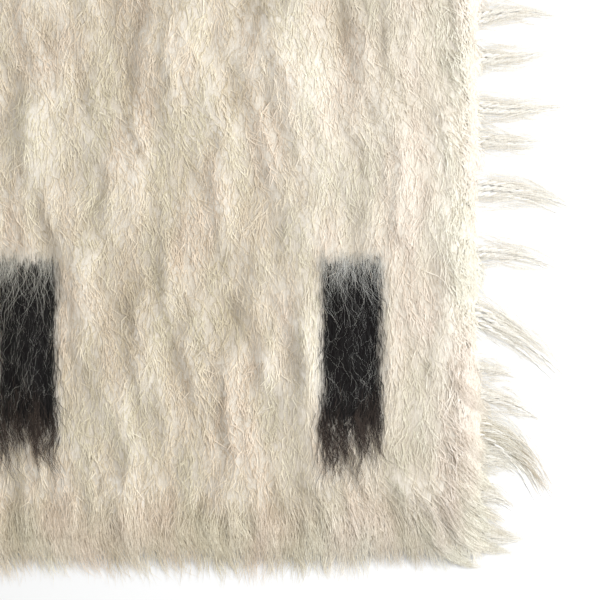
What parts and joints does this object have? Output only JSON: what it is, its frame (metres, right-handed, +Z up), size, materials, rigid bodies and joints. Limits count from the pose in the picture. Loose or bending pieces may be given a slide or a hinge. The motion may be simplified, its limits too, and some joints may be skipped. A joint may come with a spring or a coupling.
{
  "type": "wool throw",
  "caption": "Small fringed wool throw laid flat, with long brushed pile combed one way and dark woven-in bars.",
  "frame": {"origin": "middle of the cloth's underside, on the surface that the throw lies on", "axes": "+X across the throw towards the pictured fringe, +Y against the fall of the nap, +Z up out of the pile"},
  "size_m": [0.997, 0.8602, 0.0244],
  "materials": {
    "pile_wool": "soft brushed long pile",
    "fringe_wool": "loosely twisted, felted yarn ends"
  },
  "bodies": {
    "root": {"pile_cloth": "pile_wool", "fringe_right": "fringe_wool", "fringe_left": "fringe_wool"}
  },
  "joints": []
}
